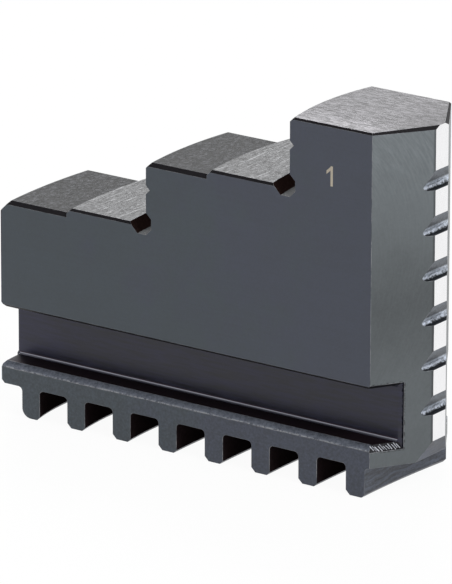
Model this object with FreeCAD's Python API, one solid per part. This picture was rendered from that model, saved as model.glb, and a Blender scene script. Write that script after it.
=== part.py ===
import FreeCAD, Part
import os
from math import acos, atan2, cos, degrees, radians, sin, sqrt, tan
from FreeCAD import Vector

# One-piece stepped jaw of a scroll chuck, ground from one block of hardened steel.
# Frame: X along the chuck's radius with the nose at +X, Y across the width, Z up from the tooth tips.
# The origin is under the middle of the block. All sizes are in millimetres.

# block
length = 86.4
width = 24.0
height = 65.8
nose_to_axis = 26.0          # the arcs of the steps share the chuck's axis, this far beyond the nose

# gripping steps
step_rise = 12.5             # from one ground pad to the next
step_spacing = 30.0          # radial distance between the two risers
high_step_radius = 50.8      # riser of the high step
pad_run = 16.1               # ground pad in front of a riser, on the radius
pad_height = 1.05            # the pad stands above the rest of its step
relief_run = 3.6             # grinding relief at the foot of a riser
relief_depth = 1.8
relief_back = 1.1
relief_rise = 2.3
grip_groove_drop = 5.0       # V groove across a riser, below its corner
grip_groove_depth = 0.8
outer_corner = 2.0
low_riser_corner = 1.0
high_riser_corner = 0.8

# guide grooves and rail
tooth_height = 5.6
rail_height = 4.05
guide_height = 10.25
guide_depth = 5.2
guide_fillet = 0.6
rail_bevel = 1.0
rail_corner = 0.6
body_corner = 0.8
web_rounding = 0.6

# scroll teeth
pitch = 10.0
tooth_count = 8
tooth_end_width = 3.9        # on the side faces; the teeth are crescents, thicker in the middle
last_tooth_setback = 7.35    # from the nose land to the inner flank of the last tooth
scroll_lead = 8.0            # radial advance of the flanks in one turn about the chuck's axis
outer_flank_radius = 52.0
inner_flank_radius = 200.0
lead_flank_radius = 45.0     # the first teeth to meet the scroll are relieved on the inner flank
lead_teeth = 3
root_radius = 0.8
outer_tip_bevel = 0.85
inner_tip_bevel = 0.6
lead_tip_radius = 1.8

# V nose
nose_half_angle = 58.0
nose_land = 3.9
nose_relief_run = 1.7
nose_relief_rise = 3.5
mouth_depth = 0.8            # bevel round the end of each guide groove
mouth_sill = 1.2
mouth_lintel = 0.7
mouth_side = 0.25

# serrations across the nose
serration_count = 6
serration_pitch = 8.1
serration_opening = 3.48
serration_depth = 1.2
serration_root = 0.6
first_serration = 13.94

# bevels along the side faces
step_bevel = 0.7
pad_bevel = 0.44
top_bevel = 0.37
body_bevel = 0.5
nose_bevel = 0.6             # at the land; it narrows to the top bevel at the side face

# derived places
half_length = length / 2
half_width = width / 2
axis_x = half_length + nose_to_axis
end_radius = length + nose_to_axis
low_step_radius = high_step_radius + step_spacing
high_pad_z = height - step_rise
low_pad_z = high_pad_z - step_rise
rail_top = tooth_height + rail_height
body_bottom = rail_top + guide_height
web_half = half_width - guide_depth
nose_x = half_length
nose_start_x = nose_x - (half_width - nose_land / 2) / tan(radians(nose_half_angle))
clear = 2.0                  # how far a cutting tool runs past the surface it cuts


def side_x(radius, y=half_width):
    """X of an arc about the chuck's axis, at distance y from the middle."""
    return axis_x - sqrt(radius ** 2 - y ** 2)


def prism(points, direction):
    """Extrude a closed outline of points along a vector."""
    return Part.Face(Part.makePolygon(points + points[:1])).extrude(direction)


def both_sides(tool):
    """A tool for the -Y side together with its mirror image."""
    return [tool, tool.mirror(Vector(0, 0, 0), Vector(0, 1, 0))]


def riser(radius, pad_z, corner_z, corner):
    """Radius and height points from a pad through its relief and up the riser."""
    groove_z = corner_z - grip_groove_drop
    return [
        (radius + relief_run, pad_z),
        (radius + relief_run - relief_depth, pad_z - relief_depth),
        (radius, pad_z - relief_depth),
        (radius - relief_back, pad_z - relief_depth + relief_back),
        (radius - relief_back, pad_z + relief_rise - relief_back),
        (radius, pad_z + relief_rise),
        (radius, groove_z - grip_groove_depth),
        (radius - grip_groove_depth, groove_z),
        (radius, groove_z + grip_groove_depth),
        (radius, corner_z - corner),
        (radius - corner, corner_z),
    ]


def step_profile():
    """Section of the jaw in the plane of the chuck's axis, as radius and height."""
    low_z = low_pad_z - pad_height
    high_z = high_pad_z - pad_height
    low_pad = low_step_radius + pad_run
    high_pad = high_step_radius + pad_run
    inner = nose_to_axis / 2
    points = [
        (inner, 0),
        (end_radius - rail_corner, 0),
        (end_radius - rail_corner, tooth_height),
        (end_radius, tooth_height + rail_corner),
        (end_radius, low_z - outer_corner),
        (end_radius - outer_corner, low_z),
        (low_pad + pad_height, low_z),
        (low_pad, low_pad_z),
    ]
    points += riser(low_step_radius, low_pad_z, high_z, low_riser_corner)
    points += [(high_pad + pad_height, high_z), (high_pad, high_pad_z)]
    points += riser(high_step_radius, high_pad_z, height, high_riser_corner)
    points += [(inner, height)]
    return points


def plan_block():
    """Upright block with the plan of the jaw: parallel sides and a V nose with a flat land."""
    land = nose_land / 2
    plan = [
        Vector(-half_length - clear, -half_width, 0),
        Vector(nose_start_x, -half_width, 0),
        Vector(nose_x, -land, 0),
        Vector(nose_x, land, 0),
        Vector(nose_start_x, half_width, 0),
        Vector(-half_length - clear, half_width, 0),
    ]
    return prism(plan, Vector(0, 0, height))


def turned_steps():
    """The steps as one turned ring about the chuck's axis."""
    outline = [Vector(axis_x + radius, 0, z) for radius, z in step_profile()]
    face = Part.Face(Part.makePolygon(outline + outline[:1]))
    return face.revolve(Vector(axis_x, 0, 0), Vector(0, 0, 1), 360)


def flank_point(x, radius, y):
    """Point of a flank that leaves the -Y side face at x, bows towards -X and leans with the scroll."""
    middle = x + sqrt(radius ** 2 - half_width ** 2)
    turn = atan2(y, axis_x - x) + atan2(half_width, axis_x - x)
    lean = scroll_lead * degrees(turn) / 360
    return Vector(middle - sqrt(radius ** 2 - y ** 2) + lean, y, -clear)


def flank(x, radius):
    """Arc of a flank, run past both side faces."""
    reach = half_width + clear
    low, mid, high = [flank_point(x, radius, y) for y in (-reach, 0, reach)]
    return Part.Arc(low, mid, high).toShape()


def straight(x):
    """Straight end for the gaps before the first tooth and past the last one."""
    reach = half_width + clear
    return Part.makeLine(Vector(x, -reach, -clear), Vector(x, reach, -clear))


def inner_radius(index):
    """Inner flank radius: the lead teeth start small and ease to the common radius."""
    relief = max(0, 1 - index / lead_teeth)
    curve = 1 / inner_flank_radius + relief * (1 / lead_flank_radius - 1 / inner_flank_radius)
    return 1 / curve


def gap_tool(left, right):
    """Cutter for one tooth gap between two flanks, with rounded roots."""
    ends = [(left, right, 0), (left, right, -1)]
    lines = [Part.makeLine(a.Vertexes[i].Point, b.Vertexes[i].Point) for a, b, i in ends]
    outline = Part.Wire(Part.__sortEdges__([left, right] + lines))
    tool = Part.Face(outline).extrude(Vector(0, 0, clear + tooth_height))
    roots = [edge for edge in tool.Edges if is_arc_at(edge, tooth_height)]
    return tool.makeFillet(root_radius, roots)


def is_arc_at(edge, z):
    """True for an arc that lies at height z."""
    level = abs(edge.BoundBox.ZMin - z) < 1e-4 and abs(edge.BoundBox.ZMax - z) < 1e-4
    return level and isinstance(edge.Curve, Part.Circle)


def tooth_flank_xs():
    """Outer flank positions on the side faces, from the outer tooth to the nose."""
    last = nose_x - last_tooth_setback - tooth_end_width
    return [last - pitch * back for back in reversed(range(tooth_count))]


def gap_tools():
    """Cutters for every gap, with the open ends before and after the teeth."""
    outer = [flank(x, outer_flank_radius) for x in tooth_flank_xs()]
    inner = [flank(x + tooth_end_width, inner_radius(i)) for i, x in enumerate(tooth_flank_xs())]
    lefts = [straight(-half_length - clear)] + inner
    rights = outer + [straight(nose_x + clear)]
    return [gap_tool(left, right) for left, right in zip(lefts, rights)]


def bevel_tips(block):
    """Break the long edges of the tooth tips; the first tooth has a rounded lead edge."""
    block = block.makeChamfer(inner_tip_bevel, tip_edges(block)[1::2])
    block = block.makeChamfer(outer_tip_bevel, tip_edges(block)[2::2])
    return block.makeFillet(lead_tip_radius, tip_edges(block)[:1])


def tip_edges(block):
    """Long edges of the tooth tips along X: outer and inner edge of each tooth in turn."""
    tips = [edge for edge in block.Edges if is_arc_at(edge, 0)]
    return sorted(tips, key=lambda edge: edge.BoundBox.XMax)


def guide_tool():
    """Cutter for the guide groove of the -Y side, with the web's end corner rounded."""
    end_x = side_x(end_radius, web_half)
    turn = web_rounding * cos(radians(45))
    centre = Vector(end_x + web_rounding, -web_half + web_rounding, rail_top)
    start = centre + Vector(0, -web_rounding, 0)
    middle = centre + Vector(-turn, -turn, 0)
    stop = centre + Vector(-web_rounding, 0, 0)
    far_left = Vector(end_x - clear, stop.y, rail_top)
    corners = [
        far_left,
        Vector(far_left.x, -half_width - clear, rail_top),
        Vector(nose_x + clear, -half_width - clear, rail_top),
        Vector(nose_x + clear, -web_half, rail_top),
        start,
    ]
    edges = [Part.makeLine(a, b) for a, b in zip(corners, corners[1:])]
    edges += [Part.Arc(start, middle, stop).toShape(), Part.makeLine(stop, far_left)]
    tool = Part.Face(Part.Wire(edges)).extrude(Vector(0, 0, guide_height))
    inner = [edge for edge in tool.Edges if follows_web(edge, stop.y)]
    return tool.makeFillet(guide_fillet, inner)


def follows_web(edge, rounding_end):
    """True for the level edges of the guide cutter that run along the web."""
    box = edge.BoundBox
    level = box.ZLength < 1e-4
    return level and box.YMin > -web_half - 1e-4 and (box.YLength < 1e-4 and box.YMax < rounding_end - 1e-4
                                                      or isinstance(edge.Curve, Part.Circle))


def guide_end_flare():
    """Cutter that bevels the outer ends of the rail and of the body beside the web."""
    rim = end_radius + clear
    section = [
        (end_radius - rail_corner, rail_top),
        (rim, rail_top - rail_corner - clear),
        (rim, body_bottom + body_corner + clear),
        (end_radius - body_corner, body_bottom),
    ]
    outline = [Vector(axis_x + radius, 0, z) for radius, z in section]
    ring = Part.Face(Part.makePolygon(outline + outline[:1]))
    ring = ring.revolve(Vector(axis_x, 0, 0), Vector(0, 0, 1), 360)
    corner = Vector(-half_length - clear, -half_width - clear, 0)
    slab = Part.makeBox(length / 2, guide_depth + clear, height, corner)
    return ring.common(slab)


def mouth_outline(depth):
    """Outline of the bevelled groove mouth in a plane parallel to the nose face, depth inside it."""
    angle = radians(nose_half_angle)
    along = Vector(cos(angle), sin(angle), 0)
    inward = Vector(-sin(angle), cos(angle), 0)
    corner = Vector(nose_start_x, -half_width, 0) + inward * depth
    grown = 1 - depth / mouth_depth
    reach = (-web_half - corner.y) / along.y + mouth_side * grown
    low = rail_top - mouth_sill * grown
    high = body_bottom + mouth_lintel * grown
    near, far = corner - along * clear, corner + along * reach
    points = [Vector(p.x, p.y, z) for p, z in ((near, low), (far, low), (far, high), (near, high))]
    return Part.makePolygon(points + points[:1])


def mouth_tool():
    """Tapered cutter for the lead-in bevel where a guide groove opens on the nose."""
    return Part.makeLoft([mouth_outline(mouth_depth), mouth_outline(-mouth_depth / 4)], True, True)


def edge_bevel(start, stop, size, stop_size=None, up=Vector(0, 0, 1)):
    """Cutter for the bevel along a level edge; the solid lies to the left of start to stop."""
    run = stop - start
    out = Vector(run.y, -run.x, 0).normalize()
    sections = []
    for point, reach in ((start, size), (stop, stop_size or size)):
        offsets = [
            -out * reach,
            -up * reach,
            out * clear - up * reach,
            out * clear + up * reach,
            -out * reach + up * reach,
        ]
        corners = [point + offset for offset in offsets]
        sections.append(Part.makePolygon(corners + corners[:1]))
    return Part.makeLoft(sections, True, True)


def side_bevels():
    """Bevels along the edges of the -Y side face, the rail and the V nose."""
    low_z = low_pad_z - pad_height
    high_z = high_pad_z - pad_height
    end = -half_length - clear
    low_pad_x = side_x(low_step_radius + pad_run + pad_height)
    high_pad_x = side_x(high_step_radius + pad_run + pad_height)
    low_riser_x = side_x(low_step_radius)
    high_riser_x = side_x(high_step_radius)
    corner_x = low_riser_x - relief_back
    runs = [
        (end, low_pad_x, low_z, step_bevel),
        (low_pad_x, low_riser_x, low_pad_z, pad_bevel),
        (corner_x, high_pad_x, high_z, step_bevel),
        (high_pad_x, high_riser_x, high_pad_z, pad_bevel),
        (high_riser_x - relief_back, nose_start_x + clear, height, top_bevel),
        (end, nose_start_x + clear, rail_top, rail_bevel),
    ]
    tools = []
    for start_x, stop_x, z, size in runs:
        start, stop = Vector(start_x, -half_width, z), Vector(stop_x, -half_width, z)
        tools.append(edge_bevel(start, stop, size))
    start, stop = [Vector(x, -half_width, body_bottom) for x in (end, nose_start_x + clear)]
    tools.append(edge_bevel(start, stop, body_bevel, up=Vector(0, 0, -1)))
    heel = Vector(nose_start_x, -half_width, height)
    toe = Vector(nose_x, -nose_land / 2, height)
    lean = (toe - heel).normalize() * clear
    taper = (nose_bevel - top_bevel) * clear / (toe - heel).Length
    tools.append(edge_bevel(heel - lean, toe + lean, top_bevel - taper, nose_bevel + taper))
    return tools


def serration_tool(z):
    """Cutter for one serration: level lower flank, round root, sloping upper flank."""
    centre = Vector(nose_x - serration_depth + serration_root, 0, z + serration_root)
    lip = Vector(nose_x, 0, z + serration_opening)
    reach = lip - centre
    turn = atan2(reach.z, reach.x) + acos(serration_root / reach.Length)
    middle = (turn + radians(270)) / 2
    low = centre + Vector(0, 0, -serration_root)
    mid = centre + Vector(cos(middle), 0, sin(middle)) * serration_root
    high = centre + Vector(cos(turn), 0, sin(turn)) * serration_root
    outside = lip + (lip - high) * (clear / (lip.x - high.x))
    corners = [high, outside, Vector(outside.x, 0, z), low]
    edges = [Part.Arc(low, mid, high).toShape()]
    edges += [Part.makeLine(a, b) for a, b in zip(corners, corners[1:])]
    tool = Part.Face(Part.Wire(edges)).extrude(Vector(0, width, 0))
    return tool.translated(Vector(0, -half_width, 0))


def nose_relief_tool():
    """Cutter for the sloping relief under the tip of the nose."""
    heel = nose_x - nose_relief_run
    outline = [
        Vector(heel, -half_width, tooth_height),
        Vector(nose_x, -half_width, tooth_height + nose_relief_rise),
        Vector(nose_x + clear, -half_width, tooth_height + nose_relief_rise),
        Vector(nose_x + clear, -half_width, tooth_height - clear),
        Vector(heel, -half_width, tooth_height - clear),
    ]
    return prism(outline, Vector(0, width, 0))


def jaw():
    """The finished jaw."""
    shape = plan_block().common(turned_steps())
    shape = shape.cut(gap_tools())
    shape = bevel_tips(shape)
    shape = shape.cut(both_sides(guide_tool()))
    shape = shape.cut(both_sides(guide_end_flare()) + both_sides(mouth_tool()))
    shape = shape.cut([serration_tool(first_serration + serration_pitch * i) for i in range(serration_count)])
    shape = shape.cut(nose_relief_tool())
    for tool in side_bevels():
        shape = shape.cut(both_sides(tool))
    return shape.removeSplitter()


os.makedirs("parts", exist_ok=True)
solid = jaw().Solids[0]
solid.exportStep("parts/jaw.step")
print("jaw", solid.isValid(), "volume", round(solid.Volume), "faces", len(solid.Faces))
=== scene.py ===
import math

import bmesh
import bpy
from mathutils import Matrix, Vector


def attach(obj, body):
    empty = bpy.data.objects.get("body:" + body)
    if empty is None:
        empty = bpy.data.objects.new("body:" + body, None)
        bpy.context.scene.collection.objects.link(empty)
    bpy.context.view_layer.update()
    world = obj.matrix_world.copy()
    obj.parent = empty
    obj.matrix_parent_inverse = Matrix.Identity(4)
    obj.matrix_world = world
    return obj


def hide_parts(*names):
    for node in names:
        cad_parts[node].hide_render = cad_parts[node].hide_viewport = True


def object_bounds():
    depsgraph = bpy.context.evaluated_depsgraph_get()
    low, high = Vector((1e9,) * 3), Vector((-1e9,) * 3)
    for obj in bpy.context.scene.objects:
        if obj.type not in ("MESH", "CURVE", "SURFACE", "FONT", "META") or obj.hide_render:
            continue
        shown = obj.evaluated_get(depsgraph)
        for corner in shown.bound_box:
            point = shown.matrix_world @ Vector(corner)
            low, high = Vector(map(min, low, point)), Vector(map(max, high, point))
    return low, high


# A stepped hard jaw of a scroll chuck: one blackened block, ground bright on its pads, its top and its nose.
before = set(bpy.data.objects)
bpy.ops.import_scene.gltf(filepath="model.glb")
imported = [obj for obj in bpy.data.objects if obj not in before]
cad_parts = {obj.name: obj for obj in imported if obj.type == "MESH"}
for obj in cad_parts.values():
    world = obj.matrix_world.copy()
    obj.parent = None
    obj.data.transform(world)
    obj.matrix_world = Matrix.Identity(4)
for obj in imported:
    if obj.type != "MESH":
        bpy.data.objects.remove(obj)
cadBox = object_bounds()
mm = 0.001
print("frame loaded:", ", ".join(sorted(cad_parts)))


# A new object, linked into the scene.
def placed(name, data):
    made = bpy.data.objects.new(name, data)
    bpy.context.scene.collection.objects.link(made)
    return made


# A long lens on the front side, turned towards the serrated nose and a little above the top.
camera = {"azimuth": 35.558, "elevation": 17.954, "roll": 0.115,                # degrees
          "lens": 435.57, "sensor": 36.0,                                       # millimetres
          "place": (0.683841, -0.959559, 0.409267), "clip": (0.01, 50.0)}       # metres


def makeCamera():
    data = bpy.data.cameras.new("camera")
    data.lens = camera["lens"]
    data.sensor_width = camera["sensor"]
    data.clip_start, data.clip_end = camera["clip"]
    eye = placed("camera", data)
    az, el, roll = (math.radians(camera[key]) for key in ("azimuth", "elevation", "roll"))
    back = Vector((math.sin(az) * math.cos(el), -math.cos(az) * math.cos(el), math.sin(el)))
    level = Vector((math.cos(az), math.sin(az), 0))
    right = level * math.cos(roll) + back.cross(level) * math.sin(roll)
    turn = Matrix((right, back.cross(right), back)).transposed().to_4x4()
    eye.matrix_world = Matrix.Translation(camera["place"]) @ turn
    bpy.context.scene.camera = eye


# Node trees: a Wire is a socket that works in sums, a Tree adds nodes by type.
class Wire:
    def __init__(self, tree, socket):
        self.tree, self.socket = tree, socket

    def math(self, operation, *values):
        return self.tree.node("ShaderNodeMath", {"operation": operation}, dict(enumerate(values)))

    def __add__(self, other): return self.math("ADD", self, other)
    def __radd__(self, other): return self.math("ADD", other, self)
    def __sub__(self, other): return self.math("SUBTRACT", self, other)
    def __rsub__(self, other): return self.math("SUBTRACT", other, self)
    def __mul__(self, other): return self.math("MULTIPLY", self, other)
    def __rmul__(self, other): return self.math("MULTIPLY", other, self)
    def __mod__(self, other): return self.math("FLOORED_MODULO", self, other)
    def __rmod__(self, other): return self.math("FLOORED_MODULO", other, self)
    def __abs__(self): return self.math("ABSOLUTE", self)
    def __or__(self, other): return self.math("MAXIMUM", self, other)
    def __ror__(self, other): return self.math("MAXIMUM", other, self)
    def __and__(self, other): return self.math("MINIMUM", self, other)
    def __rand__(self, other): return self.math("MINIMUM", other, self)


class Tree:
    def __init__(self, nodeTree):
        self.nodeTree = nodeTree

    def node(self, kind, settings=None, sockets=None, out=0):
        made = self.nodeTree.nodes.new(kind)
        for key, value in (settings or {}).items():
            setattr(made, key, value)
        for key, value in (sockets or {}).items():
            self.feed(made.inputs[key], value)
        return Wire(self, made.outputs[out]) if len(made.outputs) else made

    def feed(self, socket, value):
        if isinstance(value, Wire):
            self.nodeTree.links.new(value.socket, socket)
        else:
            socket.default_value = value


# A material and the look it is made from. It works in millimetres on the object's own coordinates.
class Finish(Tree):
    def __init__(self, name, look):
        self.look = look
        self.material = bpy.data.materials.new(name)
        self.material.use_nodes = True
        super().__init__(self.material.node_tree)
        self.nodeTree.nodes.clear()
        coords = self.node("ShaderNodeTexCoord", out="Object")
        self.spot = self.node("ShaderNodeVectorMath", {"operation": "SCALE"}, {0: coords, "Scale": 1 / mm})
        outs = self.node("ShaderNodeSeparateXYZ", None, {0: self.spot}).socket.node.outputs
        self.x, self.y, self.z = (Wire(self, outs[i]) for i in range(3))

    # The size is in millimetres. Three numbers are waves per millimetre along X, Y and Z, turned about Z.
    def noise(self, size, detail=3.0, rough=0.55, turn=0.0, where=None):
        if isinstance(size, tuple):
            sockets = {"Vector": self.spot, "Scale": size, "Rotation": (0, 0, math.radians(turn))}
            where, size = self.node("ShaderNodeMapping", None, sockets), 1.0
        sockets = {"Vector": where or self.spot, "Scale": 1 / size, "Detail": detail, "Roughness": rough}
        return self.node("ShaderNodeTexNoise", None, sockets)

    def smooth(self, value, low, high, first=0.0, last=1.0):        # from first at low to last at high
        sockets = {"Value": value, "From Min": low, "From Max": high, "To Min": first, "To Max": last}
        return self.node("ShaderNodeMapRange", {"interpolation_type": "SMOOTHSTEP"}, sockets)

    def grain(self, size, detail=3.0, rough=0.6, turn=0.0, where=None):     # a noise with full contrast
        return self.smooth(self.noise(size, detail, rough, turn, where), 0.30, 0.70)

    def near(self, value, middle, half, soft):      # 1 within half of the middle, with soft edges
        return 1 - self.smooth(abs(value - middle), half, half + soft)

    def mixColor(self, factor, first, second):
        return self.node("ShaderNodeMix", {"data_type": "RGBA"}, {0: factor, 6: first, 7: second}, out=2)

    def shade(self, color, factor):     # colour times a number
        level = self.node("ShaderNodeCombineXYZ", None, {0: factor, 1: factor, 2: factor})
        settings = {"data_type": "RGBA", "blend_type": "MULTIPLY"}
        return self.node("ShaderNodeMix", settings, {0: 1.0, 6: color, 7: level}, out=2)

    def bump(self, height):     # the look's bump is its depth in millimetres
        return self.node("ShaderNodeBump", None, {"Height": height, "Distance": self.look["bump"] * mm})

    # What isn't given here comes from the look, the same all over.
    def finish(self, **given):
        names = {"color": "Base Color", "rough": "Roughness", "metal": "Metallic", "normal": "Normal",
                 "ior": "IOR", "specular": "Specular IOR Level"}
        values = {key: self.look[key] for key in ("rough", "metal", "ior", "specular") if key in self.look}
        values.update(given)
        sockets = {names[key]: value for key, value in values.items()}
        shader = self.node("ShaderNodeBsdfPrincipled", None, sockets)
        self.node("ShaderNodeOutputMaterial", None, {"Surface": shader})
        return self.material


# Each look has its colours, its noises (size, detail, roughness and turn) and its fades (from and to, in
# millimetres, and sometimes the values there). "rough", "metal", "ior" and "specular" go to the shader.
blackLook = {"green": (0.0268, 0.0385, 0.0505, 1.0), "violet": (0.0276, 0.0345, 0.0555, 1.0),
             "rough": 0.36, "ior": 1.55, "bump": 0.004,
             "patches": (7.0, 4.0, 0.6), "grain": (0.45, 3.0, 0.6), "lines": ((0.05, 1.0, 2.6), 2.0, 0.5),
             "hue": (16.0, 5.0, 0.7), "hueDrift": 0.006, "coarseFade": (9.6, 9.0), "coarse": 1.5}


def blackenedTone(f):
    s = blackLook
    patches, grain, lines = f.noise(*s["patches"]), f.noise(*s["grain"]), f.noise(*s["lines"])
    coarse = 1 + f.smooth(f.z, *s["coarseFade"]) * (grain - 0.5) * s["coarse"]      # the rail and the teeth
    hue = f.smooth(f.x * s["hueDrift"] + f.noise(*s["hue"]), 0.36, 0.64)            # a greener or bluer black
    color = f.mixColor(hue, s["green"], s["violet"])
    color = f.shade(color, (0.60 + patches * 0.30 + grain * 0.38 + lines * 0.18) * coarse)
    rough = s["rough"] + patches * 0.10 + grain * 0.06
    return color, rough, f.bump(grain + lines)


# Ground, then blackened: the side faces and all that isn't bright.
def blackenedSteel():
    f = Finish("blackenedSteel", blackLook)
    color, rough, normal = blackenedTone(f)
    return f.finish(color=color, rough=rough, normal=normal)


# The jaw's place in its set: a plain 1, lightly burnt into the side of the top step. In millimetres.
placeNumber = {"x": 28.6, "low": 55.0, "high": 58.5, "stroke": 0.21, "flagRun": 1.05, "flagDrop": 0.95,
               "soft": 0.06, "speckle": 0.25, "burnt": (0.42, 0.37, 0.29, 1.0)}


def numberedSteel():
    f = Finish("numberedSteel", blackLook)
    s = placeNumber
    color, rough, normal = blackenedTone(f)
    half, soft, x = s["stroke"], s["soft"], s["x"]
    middle, tall = (s["low"] + s["high"]) / 2, (s["high"] - s["low"]) / 2
    upright = f.near(f.x, x, half, soft) & f.near(f.z, middle, tall, soft)
    slope = s["flagDrop"] / s["flagRun"]
    fromFlag = (f.z - s["high"] + half) - (f.x - x) * slope         # height over the flag's middle line
    flag = f.near(fromFlag, 0.0, half * math.hypot(1, slope), soft)
    flag = flag & f.near(f.x, x - s["flagRun"] / 2, s["flagRun"] / 2, soft)
    burnt = (upright | flag) * (0.72 + f.noise(s["speckle"]) * 0.5)
    return f.finish(color=f.mixColor(burnt, color, s["burnt"]), rough=rough + burnt * 0.2, normal=normal)


# Narrow bevels along the side faces, left black, and painted darker and less reflective than the sides: painted
# shade under the dark ceiling they face.
bevelLook = {"black": (0.013, 0.012, 0.014, 1.0), "rough": 0.40, "specular": 0.06,
             "grain": (0.4, 3.0, 0.65)}


def bevelSteel():
    f = Finish("bevelSteel", bevelLook)
    s = f.look
    grain = f.noise(*s["grain"])
    # painted shade: near-black with little reflection, darker than the blackened sides
    return f.finish(color=f.shade(s["black"], 0.5 + grain), rough=s["rough"] + grain * 0.12)


# Surface-ground along the jaw: short straight lines.
topLook = {"bright": (0.250, 0.245, 0.260, 1.0), "rough": 0.28, "metal": 0.95, "bump": 0.012,
           "fine": ((0.45, 2.6, 1.0), 2.0, 0.55), "short": ((1.6, 3.0, 1.0), 3.0, 0.65),
           "broad": ((0.10, 0.6, 1.0), 3.0, 0.6),
           "frontFade": (-4.0, -11.0, 0.84, 1.26), "noseFade": (32.0, 42.0, 1.0, 0.80)}


def groundTop():
    f = Finish("groundTop", topLook)
    s = f.look
    fine, short, broad = f.grain(*s["fine"]), f.grain(*s["short"]), f.noise(*s["broad"])
    lift = f.smooth(f.y, *s["frontFade"]) * f.smooth(f.x, *s["noseFade"])
    tone = (0.12 + fine * 0.62 + short * 0.36 + broad * 0.22) * lift
    normal = f.bump(fine + short)
    return f.finish(color=f.shade(s["bright"], tone), rough=s["rough"] + fine * 0.12, normal=normal)


# Cup-wheel ground pads: crossing arcs, speckle and a few dark pits.
padLook = {"bright": (0.154, 0.156, 0.161, 1.0), "rough": 0.30, "metal": 0.92, "bump": 0.018,
           "fine": ((2.6, 0.5, 1.0), 3.0, 0.7, -35), "cross": ((2.8, 0.5, 1.0), 3.0, 0.6, 25),
           "speckle": ((2.2, 1.2, 1.0), 3.0, 0.7), "pits": (0.6, 2.0, 0.6),
           "scratches": ((3.0, 0.16, 1.0), 2.0, 0.5, -20)}


def groundPad():
    f = Finish("groundPad", padLook)
    s = f.look
    fine, cross, speckle = f.grain(*s["fine"]), f.grain(*s["cross"]), f.grain(*s["speckle"])
    pits = f.smooth(f.noise(*s["pits"]), 0.58, 0.68)
    scratches = f.smooth(f.noise(*s["scratches"]), 0.60, 0.66)
    tone = (0.02 + fine * 0.42 + cross * 0.30 + speckle * 0.66) * (1 - pits * 0.45) + scratches * 0.9
    normal = f.bump(fine + cross + speckle)
    return f.finish(color=f.shade(s["bright"], tone), rough=s["rough"] + fine * 0.14, normal=normal)


# The rest of each step: rough, half bare and half black.
darkStepLook = {"dark": (0.054, 0.055, 0.059, 1.0), "rough": 0.46, "metal": 0.8, "bump": 0.05,
                "speckle": ((1.7, 1.0, 1.0), 3.0, 0.65), "patches": (2.4, 3.0, 0.7),
                "noseFade": (-36.0, 0.0, 0.88, 0.80)}


def darkStep():
    f = Finish("darkStep", darkStepLook)
    s = f.look
    speckle, patches = f.grain(*s["speckle"]), f.grain(*s["patches"])
    tone = (speckle * speckle * 1.9 + patches * 0.30 + 0.04) * f.smooth(f.x, *s["noseFade"])
    normal = f.bump(speckle + patches)
    return f.finish(color=f.shade(s["dark"], tone), rough=s["rough"] + speckle * 0.12, normal=normal)


# The narrow land at the tip: nearly a mirror.
landLook = {"bright": (0.90, 0.90, 0.91, 1.0), "rough": 0.10, "metal": 1.0,
            "clouds": (3.0, 3.0, 0.6), "fine": ((1.0, 5.0, 0.4), 2.0, 0.5)}


def noseLand():
    f = Finish("noseLand", landLook)
    s = f.look
    clouds, fine = f.noise(*s["clouds"]), f.noise(*s["fine"])
    color = f.shade(s["bright"], 0.92 + clouds * 0.08 + fine * 0.05)
    return f.finish(color=color, rough=s["rough"] + fine * 0.10)


# The V faces: ground after blackening, so lighter towards both ends, and nicked round the groove mouths.
noseLook = {"steel": (0.076, 0.086, 0.092, 1.0), "nick": (0.006, 0.006, 0.008, 1.0),
            "rough": 0.36, "metal": 0.25, "ior": 1.5, "bump": 0.004,
            "swirl": (1.0, 3.0, 0.65), "swirlWaves": (2.6, 0.30), "swirlBend": 0.02, "swirlTop": 62.0,
            "swirlLean": (0.91, 0.42), "runPerWidth": 1.18,     # cosine and sine, and the V face's length
            "patches": (6.0, 3.0, 0.55), "grain": (0.5, 3.0, 0.6), "nicks": (0.42, 3.0, 0.7),
            "upperFade": (34.0, 55.0), "topFade": (52.0, 64.0), "lowerFade": (34.0, 17.0),
            "scratchFade": (50.0, 62.0), "rimFade": (2.40, 2.10), "nickFade": (0.05, 0.34)}


def noseFace():
    f = Finish("noseFace", noseLook)
    s, jaw = f.look, jawSizes
    slant = math.radians(jaw["noseAngle"])
    out = abs(f.y)
    run = out * -s["runPerWidth"]                                   # along the V, towards the land
    (cosine, sine), waves = s["swirlLean"], s["swirlWaves"]
    along = run * sine + (s["swirlTop"] - f.z) * cosine             # along the wheel's arcs
    across = run * cosine + f.z * sine + along * along * s["swirlBend"]
    arcs = f.node("ShaderNodeCombineXYZ", None, {0: across * waves[0], 1: along * waves[1]})
    swirl = f.grain(*s["swirl"], where=arcs)
    patches, grain = f.noise(*s["patches"]), f.noise(*s["grain"])
    lift = f.smooth(f.z, *s["upperFade"]) * 0.62 + f.smooth(f.z, *s["topFade"]) * 0.14
    lift = lift + f.smooth(f.z, *s["lowerFade"]) * 0.30
    scratched = 0.10 + f.smooth(f.z, *s["scratchFade"]) * 0.34
    # painted shade: a darker band along the rounded edge to the land
    landEdgeShade = f.smooth(out, *s["rimFade"])                              # darker along the bright land
    tone = (0.54 + lift + (swirl - 0.15) * scratched + patches * 0.36 + grain * 0.34) * (1 - landEdgeShade * 0.5)
    color = f.shade(s["steel"], tone)
    side = jaw["side"] - jaw["mouthReach"] * math.sin(slant)
    low, high = jaw["railTop"] - jaw["mouthSill"], jaw["grooveTop"] + jaw["mouthLintel"]
    away = (side - out) | (low - f.z) | (f.z - high)                # distance out of the mouth's edge
    nicks = (1 - f.smooth(away, *s["nickFade"])) * f.smooth(f.noise(*s["nicks"]), 0.50, 0.56)
    color = f.mixColor(nicks, color, s["nick"])
    return f.finish(color=color, rough=s["rough"] + swirl * 0.08, normal=f.bump(swirl + grain))
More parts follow.
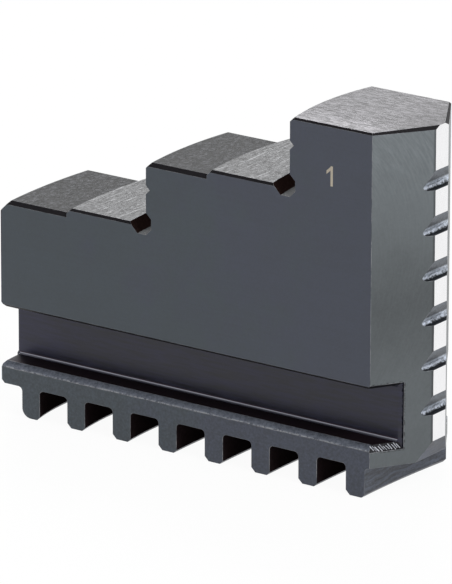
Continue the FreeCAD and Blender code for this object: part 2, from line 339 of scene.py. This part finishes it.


# Inside the guide grooves: blackened, painted darker still as the shade inside them, with painted light towards
# the open outer end, and scraped along the mouth's edge.
guideLook = {"black": (0.0085, 0.0085, 0.026, 1.0), "rough": 0.34, "ior": 1.48, "bump": 0.004,
             "lines": ((0.16, 1.0, 1.8), 4.0, 0.7), "patches": (6.0, 3.0, 0.6), "nicks": (0.5, 3.0, 0.7),
             "outerFade": (-24.0, -42.0), "nickFade": (0.34, 0.10)}


def guideSteel():
    f = Finish("guideSteel", guideLook)
    s, jaw = f.look, jawSizes
    slant = math.radians(jaw["noseAngle"])
    lines, patches = f.grain(*s["lines"]), f.noise(*s["patches"])
    # painted light: lighter towards the groove's open outer end
    outer = f.smooth(f.x, *s["outerFade"]) * 0.5
    inside = (jaw["noseStart"] - f.x) * math.sin(slant) + (jaw["side"] - abs(f.y)) * math.cos(slant)
    nicked = f.smooth(inside + (f.noise(*s["nicks"]) - 0.5) * 0.5, *s["nickFade"])
    # painted shade: the groove's near-black colour
    color = f.shade(s["black"], (0.05 + lines + patches * 0.6 + outer) * (1 - nicked * 0.9))
    return f.finish(color=color, rough=s["rough"] + lines * 0.10, metal=nicked, normal=f.bump(lines))


# The rail's top: painted near-black as the shade under the jaw and the dark web it mirrors, and painted lighter
# at its outer end, where the web ends.
railLook = {"black": (0.024, 0.013, 0.018, 1.0), "rubbed": (0.060, 0.066, 0.076, 1.0),
            "rough": 0.5, "metal": 0.9, "specular": 0.2,
            "grain": (0.5, 3.0, 0.65), "outerFade": (-37.5, -42.0)}


def railTop():
    f = Finish("railTop", railLook)
    s = f.look
    grain = f.noise(*s["grain"])
    # painted light towards the outer end, where the web ends and the top no longer mirrors it
    bare = f.smooth(f.x, *s["outerFade"]) * (0.6 + grain * 0.6)
    color = f.mixColor(bare * 0.5, f.shade(s["black"], 0.5 + grain), s["rubbed"])
    return f.finish(color=color, rough=s["rough"] + grain * 0.1)


# The fillet at the foot of the web: black, with a painted highlight in a line along it.
footLook = {"bright": (0.44, 0.45, 0.53, 1.0), "rough": 0.28, "metal": 0.9,
            "wearAndSheen": ((0.2, 1.0, 1.0), 2.0, 0.5), "lineRise": 0.20, "lineHalf": 0.10, "lineSoft": 0.12}


def footLine():
    f = Finish("footLine", footLook)
    s = f.look
    wearAndSheen = f.noise(*s["wearAndSheen"])
    # painted highlight: a bright line along the fillet, its brightness varied by a noise
    line = f.near(f.z, jawSizes["railTop"] + s["lineRise"], s["lineHalf"], s["lineSoft"])
    return f.finish(color=f.mixColor(line, railLook["black"], f.shade(s["bright"], 0.65 + wearAndSheen * 0.45)))


# The long bevel of the rail: bare and rough, worn along its lower edge, with painted glints there.
railBevelLook = {"bare": (0.155, 0.173, 0.215, 1.0), "worn": (0.62, 0.63, 0.65, 1.0),
                 "rough": 0.50, "metal": 0.6, "bump": 0.03,
                 "speckle": (0.6, 4.0, 0.75), "broad": (5.0, 2.0, 0.5), "patches": (6.0, 2.0, 0.5),
                 "edgeFade": (8.70, 9.02), "ragged": 0.3, "lowerFade": (9.6, 8.8)}


def railBevel():
    f = Finish("railBevel", railBevelLook)
    s = f.look
    speckle, broad = f.grain(*s["speckle"]), f.noise(*s["broad"])
    edge = 1 - f.smooth(f.z + (speckle - 0.5) * s["ragged"], *s["edgeFade"])
    worn = f.smooth(f.noise(*s["patches"]), 0.30, 0.55, 0.35, 1.0)
    # painted glints on the worn lower edge
    edgeGlints = f.smooth(f.noise(*s["speckle"]), 0.44, 0.58) * worn
    tone = 0.20 + f.smooth(f.z, *s["lowerFade"]) * 0.35 + speckle * 0.55 + broad * 0.35
    color = f.mixColor(edge * edgeGlints * 0.9, f.shade(s["bare"], tone), s["worn"])
    return f.finish(color=color, normal=f.bump(speckle))


# Milled before hardening: wavy streaks under the nose and on the tail.
marksLook = {"steel": (0.049, 0.057, 0.078, 1.0), "brown": (0.070, 0.074, 0.084, 1.0),
             "rough": 0.38, "metal": 0.25, "ior": 1.5, "bump": 0.03,
             "streaks": (1.0, 3.0, 0.65), "waves": (0.12, 0.16, 2.2),
             "bend": (7.0, 2.0, 0.5), "bendHeight": 1.6, "grain": 0.5,
             "browned": (3.0, 3.0, 0.6), "brownFade": (6.0, 10.0)}


def toolMarks():
    f = Finish("toolMarks", marksLook)
    s = f.look
    waves = s["waves"]
    bent = f.z + f.noise(*s["bend"]) * s["bendHeight"]
    rows = f.node("ShaderNodeCombineXYZ", None, {0: f.x * waves[0], 1: f.y * waves[1], 2: bent * waves[2]})
    streaks = f.grain(*s["streaks"], where=rows)
    browned = f.smooth(f.z, *s["brownFade"]) * f.smooth(f.noise(*s["browned"]), 0.40, 0.60)
    color = f.mixColor(browned, s["steel"], s["brown"])
    color = f.shade(color, 0.18 + streaks * 1.10 + f.grain(s["grain"]) * 0.45)
    return f.finish(color=color, rough=s["rough"] + streaks * 0.12, normal=f.bump(streaks))


# Between the teeth: painted shade, near-black and without reflection.
gapLook = {"black": (0.018, 0.012, 0.013, 1.0), "rough": 0.6, "specular": 0.0, "grain": (0.6, 3.0, 0.6)}


def toothGap():
    f = Finish("toothGap", gapLook)
    # painted shade: darker than the sides, with no specular
    return f.finish(color=f.shade(f.look["black"], 0.6 + f.noise(*f.look["grain"]) * 0.7))


# The grinding reliefs at the foot of the risers: walls painted black as shade, without reflection, and a rough
# floor with painted glints towards its ends.
reliefLook = {"paintedShade": (0.016, 0.009, 0.008, 1.0), "rough": 0.6, "specular": 0.0, "grain": 0.6}
reliefFloorLook = {"dark": (0.085, 0.090, 0.096, 1.0), "glint": (0.60, 0.62, 0.66, 1.0),
                   "rough": 0.5, "specular": 0.1, "bump": 0.02,
                   "grain": (0.6, 4.0, 0.75), "endFade": (10.0, 11.4)}


def reliefSteel():
    f = Finish("reliefSteel", reliefLook)
    # painted shade: near-black walls without reflection
    return f.finish(color=f.shade(f.look["paintedShade"], 0.4 + f.noise(f.look["grain"])))


def reliefFloor():
    f = Finish("reliefFloor", reliefFloorLook)
    s = f.look
    grain = f.noise(*s["grain"])
    # painted glints towards the floor's ends
    glint = f.smooth(grain, 0.56, 0.66) * f.smooth(abs(f.y), *s["endFade"]) * 0.7
    color = f.mixColor(glint, f.shade(s["dark"], 0.5 + grain), s["glint"])
    return f.finish(color=color, normal=f.bump(grain))


# The teeth of the nose: blued above, with a bright speckled root and a black lower flank. The fades are
# heights over the foot of each tooth.
serrationLook = {"blued": (0.095, 0.105, 0.120, 1.0), "root": (0.60, 0.66, 0.76, 1.0),
                 "flank": (0.012, 0.014, 0.018, 1.0), "rough": 0.34, "metal": 0.6, "bump": 0.012,
                 "grain": (0.55, 4.0, 0.7), "along": ((1.0, 1.0, 3.6), 3.0, 0.65), "ragged": 0.35,
                 "rootLow": (0.10, 0.45), "rootHigh": (1.65, 1.25), "bluedFade": (1.6, 3.2),
                 "flankFade": (0.05, 0.30)}


def serration():
    f = Finish("serration", serrationLook)
    s, jaw = f.look, jawSizes
    grain, along = f.grain(*s["grain"]), f.grain(*s["along"])
    height = (f.z - jaw["firstSerration"]) % jaw["serrationPitch"] + (grain - 0.5) * s["ragged"]
    bright = f.smooth(height, *s["rootLow"]) * f.smooth(height, *s["rootHigh"])
    blued = f.shade(s["blued"], 0.45 + grain * 0.6 + f.smooth(height, *s["bluedFade"]) * 0.5)
    color = f.mixColor(f.smooth(height, *s["flankFade"]), s["flank"], blued)
    color = f.mixColor(bright, color, f.shade(s["root"], 0.18 + along * 0.45 + grain * 0.60))
    return f.finish(color=color, rough=s["rough"] + grain * 0.10, normal=f.bump(grain + along))


serrationFloorLook = {"dark": (0.012, 0.014, 0.018, 1.0), "rough": 0.5, "metal": 0.9, "specular": 0.1,
                      "grain": 0.4}


def serrationFloor():
    f = Finish("serrationFloor", serrationFloorLook)
    return f.finish(color=f.shade(f.look["dark"], 0.4 + f.noise(f.look["grain"])))


# Bevels cut by hand at the mouths of the guide grooves.
mouthLook = {"black": (0.006, 0.006, 0.008, 1.0), "rough": 0.45, "metal": 0.5, "specular": 0.3,
             "bump": 0.03, "grain": (0.3, 4.0, 0.7)}


def mouthSteel():
    f = Finish("mouthSteel", mouthLook)
    grain = f.noise(*f.look["grain"])
    return f.finish(color=f.shade(f.look["black"], 0.3 + grain * 1.4), normal=f.bump(grain))


# The gripping faces of the steps, ground round with the chuck's axis.
riserLook = {"bright": (0.30, 0.30, 0.31, 1.0), "rough": 0.26, "metal": 0.95, "bump": 0.008,
             "fine": ((0.5, 0.5, 6.0), 3.0, 0.6)}


def riserFace():
    f = Finish("riserFace", riserLook)
    s = f.look
    fine = f.noise(*s["fine"])
    color = f.shade(s["bright"], 0.6 + fine * 0.7)
    return f.finish(color=color, rough=s["rough"] + fine * 0.14, normal=f.bump(fine))


# Thin line along the outer edges, rubbed down to the steel here and there.
wornLook = {"edge": (0.060, 0.066, 0.076, 1.0), "rubbed": (0.24, 0.245, 0.26, 1.0),
            "rough": 0.34, "metal": 0.5, "wearAndSheen": (2.2, 4.0, 0.7)}


def wornEdge():
    f = Finish("wornEdge", wornLook)
    wearAndSheen = f.smooth(f.noise(*f.look["wearAndSheen"]), 0.35, 0.65)
    return f.finish(color=f.mixColor(wearAndSheen, f.look["edge"], f.look["rubbed"]))


# The file ridges in the groove mouths, bright on their crests.
ridgeLook = {"bright": (0.62, 0.64, 0.70, 1.0), "rough": 0.36, "metal": 0.8, "grain": 0.4}


def ridgeSteel():
    f = Finish("ridgeSteel", ridgeLook)
    return f.finish(color=f.shade(f.look["bright"], 0.4 + f.noise(f.look["grain"]) * 1.1))


# Sizes of the jaw in millimetres, and the nose's angle in degrees, for telling its faces apart.
jawSizes = {
    "axisX": 69.2, "side": 12.0, "top": 65.8,
    "noseX": 43.2, "noseAngle": 58.0, "noseStart": 36.92,
    "pads": (40.8, 53.3), "steps": (39.75, 52.25), "risers": (50.8, 80.8),              # risers by radius
    "reliefRun": 3.6, "reliefDepth": 1.8, "reliefRise": 2.3, "reliefBack": 1.1,
    "webHalf": 6.8, "grooveTop": 19.9, "fillet": 0.6, "footEnd": -42.4,                 # guide grooves
    "mouthReach": 6.38, "mouthSill": 1.2, "mouthLintel": 0.7, "mouthDepth": 0.8,        # and their mouths
    "railTop": 9.65, "railBevel": 1.0,
    "toothHeight": 5.6, "toothTip": 0.9, "firstGap": -36.0,                             # scroll teeth
    "gapStart": -40.0, "gapEnd": 35.4, "gapDeep": 3.0,
    "marksStart": 34.5, "marksTop": 13.44,                                              # under the nose
    "firstSerration": 13.94, "serrationPitch": 8.1, "serrationDepth": 1.2, "serrationEnd": 57.92,
}

finishMakers = [
    blackenedSteel, numberedSteel, bevelSteel, groundTop, groundPad, darkStep, noseLand, noseFace, guideSteel,
    railTop, footLine, railBevel, toolMarks, toothGap, reliefSteel, reliefFloor, serration, serrationFloor,
    mouthSteel, riserFace, wornEdge, ridgeSteel,
]
finishOrder = [maker.__name__ for maker in finishMakers]        # and so the slots of the jaw's mesh
finishes = {maker.__name__: maker() for maker in finishMakers}
print("finishes:", len(finishes))

# The level faces go by their height.
levels = {jawSizes["top"]: "groundTop", jawSizes["railTop"]: "railTop"}
levels.update({height: "groundPad" for height in jawSizes["pads"]})
levels.update({height: "darkStep" for height in jawSizes["steps"]})


# The finish of a face comes from where it lies and which way it faces. The jaw is the same on both sides.
def finishOf(face):
    s = jawSizes
    close, slack, skin, squarely = 0.06, 0.1, 0.5, 0.98
    slant = math.radians(s["noseAngle"])
    spot, n = face.calc_center_median() / mm, face.normal
    x, y, z = spot.x, abs(spot.y), spot.z
    up, out = n.z, abs(n.y)
    onV = n.x * math.sin(slant) + out * math.cos(slant)
    fromV = (x - s["noseStart"]) * math.sin(slant) + (y - s["side"]) * math.cos(slant)
    away = math.hypot(s["axisX"] - x, y)            # from the chuck's axis
    upright, sloping, halfway = abs(up) < 0.1, abs(up) > 0.3, up > 0.6 and abs(up - out) < 0.05

    # The ground faces, each square to one direction.
    if up > squarely:
        for height, name in levels.items():
            if abs(z - height) < close:
                return name
    if out > squarely and y > s["side"] - close:
        return "numberedSteel" if spot.y < 0 and z > s["grooveTop"] else "blackenedSteel"
    if n.x > squarely and x > s["noseX"] - close:
        return "noseLand"
    if onV > squarely and abs(fromV) < close:
        return "noseFace"

    # The risers, and the reliefs at their feet.
    for riser, pad in zip(reversed(s["risers"]), s["pads"]):
        inRun = riser - s["reliefBack"] - close < away < riser + s["reliefRun"] + close
        if inRun and pad - s["reliefDepth"] - close < z < pad + s["reliefRise"] - close:
            return "reliefFloor" if up > 0.9 else "reliefSteel"
        if n.x < 0 and upright and abs(away - riser) < close and z > pad:
            return "riserFace"

    # The guide grooves, the rail's bevel, and the bevels at the grooves' mouths.
    inGroove = s["railTop"] - close < z < s["grooveTop"] + close
    if inGroove and s["webHalf"] - close < y < s["side"] - skin and (fromV < -s["mouthDepth"] or out > 0.5):
        isFillet = z < s["railTop"] + s["fillet"] and 0.1 < up < 0.95
        return "footLine" if isFillet and x > s["footEnd"] else "guideSteel"
    if halfway and s["railTop"] - s["railBevel"] < z < s["railTop"]:
        return "railBevel"
    inMouth = s["railTop"] - s["mouthSill"] - slack < z < s["grooveTop"] + s["mouthLintel"] + slack
    inMouth = inMouth and y > s["side"] - s["mouthReach"] * math.sin(slant) - slack
    if inMouth and fromV > -s["mouthDepth"] - slack and abs(fromV) > close:
        return "mouthSteel" if sloping else "guideSteel"

    # The nose's teeth, the tool marks under them, and the gaps between the scroll teeth.
    onTeeth = s["firstSerration"] - close < z < s["serrationEnd"] + close
    if onTeeth and x > s["noseX"] - s["serrationDepth"] - close:
        return "serrationFloor" if up > 0.9 else "serration"
    if x > s["marksStart"] and z < s["marksTop"] and n.x > 0.1 and up < 0.3 and out < 0.9:
        return "toolMarks"
    outerEnd = x < s["firstGap"] and n.x < 0        # the first tooth's flank, in the open
    if z < s["toothHeight"] + close and s["gapStart"] < x < s["gapEnd"] and not outerEnd:
        if z > s["gapDeep"] or (z > s["toothTip"] and abs(n.x) > 0.2):
            return "toothGap"
    return "bevelSteel" if sloping and out > 0.3 and z > s["railTop"] else "blackenedSteel"


# Rounding of the outer edges: the full width in millimetres, the angles in degrees, and shares of the width.
edgeSizes = {"width": 0.09, "segments": 2, "sharpAngle": 25.0, "smoothAngle": 33.0,
             "worn": 0.5, "toothEnd": 0.8, "black": 0.2}
crispFinishes = {"guideSteel", "footLine", "railTop", "reliefSteel", "reliefFloor", "mouthSteel"}
blackFinishes = {"bevelSteel", "toothGap", "toolMarks"}


# Share of the full rounding that an edge gets, 0 for none.
def edgeWear(edge):
    s = edgeSizes
    if len(edge.link_faces) != 2 or not edge.is_convex:
        return 0.0
    names = {finishOrder[face.material_index] for face in edge.link_faces}
    if edge.calc_face_angle() < math.radians(s["sharpAngle"]) or names <= crispFinishes:
        return 0.0
    atSide = all(abs(v.co.y) > (jawSizes["side"] - 0.1) * mm for v in edge.verts)
    if "toothGap" in names and atSide:
        return s["toothEnd"]
    return s["black"] if names & blackFinishes else s["worn"]


def curved(face):       # part of a rounded surface, so it is shaded smooth
    small, large = math.radians(0.4), math.radians(edgeSizes["smoothAngle"])
    return any(small < edge.calc_face_angle(0.0) < large for edge in face.edges)


# The modifiers' result becomes the mesh, and the modifiers go.
def baked(piece):
    graph = bpy.context.evaluated_depsgraph_get()
    mesh = bpy.data.meshes.new_from_object(piece.evaluated_get(graph))
    piece.modifiers.clear()
    piece.data = mesh
    mesh.name = piece.name


# The whole jaw: a copy of the node's mesh with its doubles merged, finished face by face.
def makeJaw():
    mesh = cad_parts["jaw"].data.copy()
    mesh.materials.clear()
    for name in finishOrder:
        mesh.materials.append(finishes[name])
    shape = bmesh.new()
    shape.from_mesh(mesh)
    bmesh.ops.remove_doubles(shape, verts=shape.verts, dist=0.002 * mm)
    bmesh.ops.dissolve_limit(shape, angle_limit=math.radians(0.3), verts=shape.verts, edges=shape.edges)
    shape.normal_update()
    for face in shape.faces:
        face.material_index = finishOrder.index(finishOf(face))
        face.smooth = curved(face)
    weights = shape.edges.layers.float.new("bevel_weight_edge")
    for edge in shape.edges:
        edge[weights] = edgeWear(edge)
    shape.to_mesh(mesh)
    shape.free()
    mesh.set_sharp_from_angle(angle=math.radians(edgeSizes["smoothAngle"]))
    piece = placed("jawBody", mesh)
    bevel = piece.modifiers.new("edges", "BEVEL")
    bevel.limit_method = "WEIGHT"
    bevel.width = edgeSizes["width"] * mm
    bevel.segments = edgeSizes["segments"]
    bevel.use_clamp_overlap = False
    bevel.material = finishOrder.index("wornEdge")
    cut = piece.modifiers.new("cut", "TRIANGULATE")         # only the faces of more than four corners
    cut.ngon_method = "BEAUTY"
    cut.min_vertices = 5
    weighted = piece.modifiers.new("normals", "WEIGHTED_NORMAL")
    weighted.keep_sharp = True
    baked(piece)
    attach(piece, "root")
    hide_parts("jaw")
    print("jaw:", len(piece.data.polygons), "faces")


makeJaw()


# File ridges across the sills of the groove mouths, in millimetres. The lean is in radians.
ridgeSizes = {"Count": 11, "Spacing": 0.50, "Length": 1.15, "Width": 0.19, "Height": 0.10, "Lean": 0.60,
              "Jitter": 0.25, "Seed": 5}
ridgeStart = 0.55       # from the side face, along the V


# One row of ridges along X, each lying across it. The tree's inputs are the names above and the material.
def ridgeTree():
    group = bpy.data.node_groups.new("ridgeRow", "GeometryNodeTree")
    kinds = {int: "NodeSocketInt", float: "NodeSocketFloat"}
    for name, value in ridgeSizes.items():
        socket = group.interface.new_socket(name, in_out="INPUT", socket_type=kinds[type(value)])
        socket.default_value = value
    group.interface.new_socket("Material", in_out="INPUT", socket_type="NodeSocketMaterial")
    group.interface.new_socket("Geometry", in_out="OUTPUT", socket_type="NodeSocketGeometry")
    t = Tree(group)
    outs = t.node("NodeGroupInput").socket.node.outputs
    size = {out.name: Wire(t, out) for out in outs if out.name}
    offset = t.node("ShaderNodeCombineXYZ", None, {0: size["Spacing"]})
    points = t.node("GeometryNodeMeshLine", None, {"Count": size["Count"], "Offset": offset})
    index = t.node("GeometryNodeInputIndex")

    def chance(low, high, salt):        # each salt is a draw of its own
        return t.node("FunctionNodeRandomValue", {"data_type": "FLOAT"},
                      {2: low, 3: high, "ID": index, "Seed": size["Seed"] + salt}, out=1)

    aside = chance(-1.0, 1.0, 1) * size["Jitter"] * size["Spacing"]
    onwards = chance(-0.5, 0.5, 2) * size["Jitter"] * size["Length"]
    lean = size["Lean"] + chance(-0.4, 0.4, 3) * size["Jitter"]
    width = size["Width"] * chance(0.7, 1.3, 4)
    length = size["Length"] * chance(0.7, 1.1, 5)
    shift = t.node("ShaderNodeCombineXYZ", None, {0: aside, 1: onwards})
    scale = t.node("ShaderNodeCombineXYZ", None, {0: width, 1: length, 2: size["Height"] * 2})  # half sunk in
    angles = t.node("ShaderNodeCombineXYZ", None, {2: lean})
    points = t.node("GeometryNodeSetPosition", None, {"Geometry": points, "Offset": shift})
    rod = t.node("GeometryNodeMeshCylinder", {"fill_type": "NGON"},
                 {"Vertices": 8, "Radius": 0.5, "Depth": 1.0})
    turned = t.node("GeometryNodeTransform", None, {"Geometry": rod, "Rotation": (math.pi / 2, 0, 0)})
    rows = t.node("GeometryNodeInstanceOnPoints", None,
                  {"Points": points, "Instance": turned, "Rotation": angles, "Scale": scale})
    solid = t.node("GeometryNodeRealizeInstances", None, {0: rows})
    painted = t.node("GeometryNodeSetMaterial", None, {"Geometry": solid, "Material": size["Material"]})
    t.node("NodeGroupOutput", None, {"Geometry": painted})
    return group


def makeRidges(name, side, group):
    piece = placed(name, bpy.data.meshes.new(name))
    rows = piece.modifiers.new("ridges", "NODES")
    rows.node_group = group
    values = {**ridgeSizes, "Material": finishes["ridgeSteel"]}
    for item in group.interface.items_tree:
        if item.in_out == "INPUT":
            rows[item.identifier] = values[item.name]
    baked(piece)
    s = jawSizes
    slant = math.radians(s["noseAngle"])
    along = Vector((math.cos(slant), -side * math.sin(slant), 0))           # from the side face to the land
    inward = Vector((-math.sin(slant), -side * math.cos(slant), 0)) * s["mouthDepth"]
    inward.z = s["mouthSill"]                                               # up the slope of the sill
    depth = inward.length
    inward.normalize()
    first = Vector((s["noseStart"], side * s["side"], s["railTop"] - s["mouthSill"])) + along * ridgeStart
    if side > 0:            # the back row is laid from its far end, so that it stays right side out
        first += along * ridgeSizes["Spacing"] * (ridgeSizes["Count"] - 1)
        along = -along
    out = along.cross(inward)
    turn = Matrix((along, inward, out)).transposed().to_4x4()
    piece.data.transform(Matrix.Scale(mm, 4) @ Matrix.Translation(first + inward * depth / 2) @ turn)
    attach(piece, "root")
    print(name + ":", len(piece.data.polygons), "faces")


ridgeGroup = ridgeTree()
makeRidges("ridgesFront", -1, ridgeGroup)
makeRidges("ridgesBack", 1, ridgeGroup)


# White sweep, a bright horizon and a dark ceiling, which keeps the black faces black.
studio = {
    "floorSize": 6.0, "floorColor": 0.9,
    "floorDrop": 0.02,      # millimetres under the jaw
    "floorLift": 0.95,      # the share of the floor's white that needs no lamps
    "horizon": 1.0, "zenith": 0.10, "fadeFrom": 0.30, "fadeTo": 0.75,       # the fade by the sine of the height
    "lamps": [              # name, place and size in metres, watts
        ("rightLamp", (1.5, -0.3, 1.9), 0.9, 26.0),
        ("backLamp", (-0.9, 1.3, 1.7), 0.9, 22.0),
        ("topLamp", (0.1, 0.1, 2.3), 2.0, 12.0),
    ],
}


def grey(level):
    return (level, level, level, 1.0)


def makeFloor():
    size = studio["floorSize"] / 2
    mesh = bpy.data.meshes.new("floor")
    corners = [(-size, -size, 0), (size, -size, 0), (size, size, 0), (-size, size, 0)]
    mesh.from_pydata(corners, [], [(0, 1, 2, 3)])
    floor = placed("floor", mesh)
    floor.location.z = cadBox[0].z - studio["floorDrop"] * mm
    material = bpy.data.materials.new("paleFloor")
    material.use_nodes = True
    t = Tree(material.node_tree)
    t.nodeTree.nodes.clear()
    rays = t.node("ShaderNodeLightPath").socket.node.outputs
    direct, mirrored, through = (Wire(t, rays["Is %s Ray" % kind])
                                 for kind in ("Camera", "Glossy", "Transmission"))
    seen = direct | mirrored | through
    matte = t.node("ShaderNodeBsdfDiffuse", None, {"Color": grey(studio["floorColor"])})
    white = t.node("ShaderNodeEmission", None, {"Color": grey(1.0), "Strength": 1.0})
    mixed = t.node("ShaderNodeMixShader", None, {0: seen * studio["floorLift"], 1: matte, 2: white})
    t.node("ShaderNodeOutputMaterial", None, {"Surface": mixed})
    mesh.materials.append(material)


def makeWorld():
    world = bpy.data.worlds.new("studio")
    world.use_nodes = True
    t = Tree(world.node_tree)
    t.nodeTree.nodes.clear()
    ray = t.node("ShaderNodeTexCoord", out="Generated")
    height = Wire(t, t.node("ShaderNodeSeparateXYZ", None, {0: ray}).socket.node.outputs[2])
    glow = t.node("ShaderNodeMapRange", {"interpolation_type": "SMOOTHSTEP"},
                  {"Value": height, "From Min": studio["fadeFrom"], "From Max": studio["fadeTo"],
                   "To Min": studio["horizon"], "To Max": studio["zenith"]})
    sky = t.node("ShaderNodeBackground", None, {"Color": grey(1.0), "Strength": glow})
    t.node("ShaderNodeOutputWorld", None, {"Surface": sky})
    bpy.context.scene.world = world


def makeLamps():
    for name, place, size, power in studio["lamps"]:
        data = bpy.data.lights.new(name, "AREA")
        data.shape = "SQUARE"
        data.size, data.energy = size, power
        lamp = placed(name, data)
        lamp.location = place
        lamp.rotation_euler = (-Vector(place)).to_track_quat("-Z", "Y").to_euler()     # towards the jaw


makeCamera()
makeFloor()
makeWorld()
makeLamps()
bpy.context.scene.view_settings.view_transform = "Standard"
print("studio ready")
